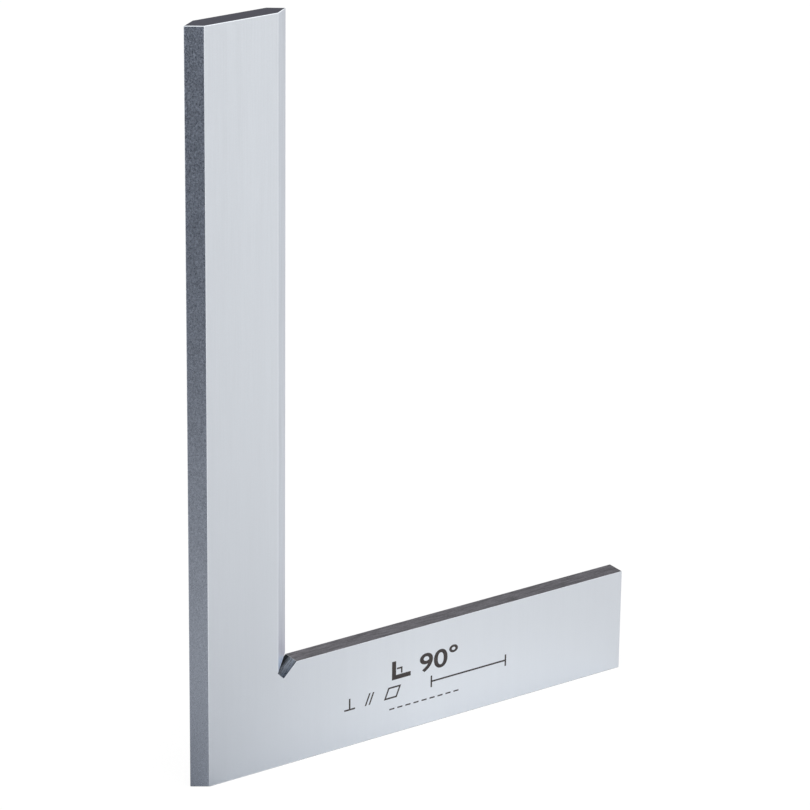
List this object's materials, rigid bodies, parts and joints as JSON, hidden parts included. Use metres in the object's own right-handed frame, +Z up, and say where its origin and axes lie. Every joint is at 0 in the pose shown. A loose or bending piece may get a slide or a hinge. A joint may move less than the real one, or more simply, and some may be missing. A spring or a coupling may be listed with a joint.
{
  "type": "bevel edge square",
  "caption": "Steel bevel-edge square: a long upright leg with knife edges on both sides and a plain short leg at right angles, with a relief slot in the inner corner.",
  "frame": {"origin": "middle of the base, the short leg's outer face, half-way through the thickness", "axes": "+Z up the long leg, +X along the short leg away from the outer knife edge, +Y through the thickness from the marked front face to the back face"},
  "size_m": [0.2, 0.008, 0.3],
  "materials": {
    "ground_steel": "hardened steel, fine ground and lapped to a satin sheen, darker sawn and ground walls in the relief slot",
    "etched_mark": "dark etched marking, matt, flush with the steel"
  },
  "bodies": {
    "root": {"square_body": "ground_steel"}
  },
  "joints": []
}
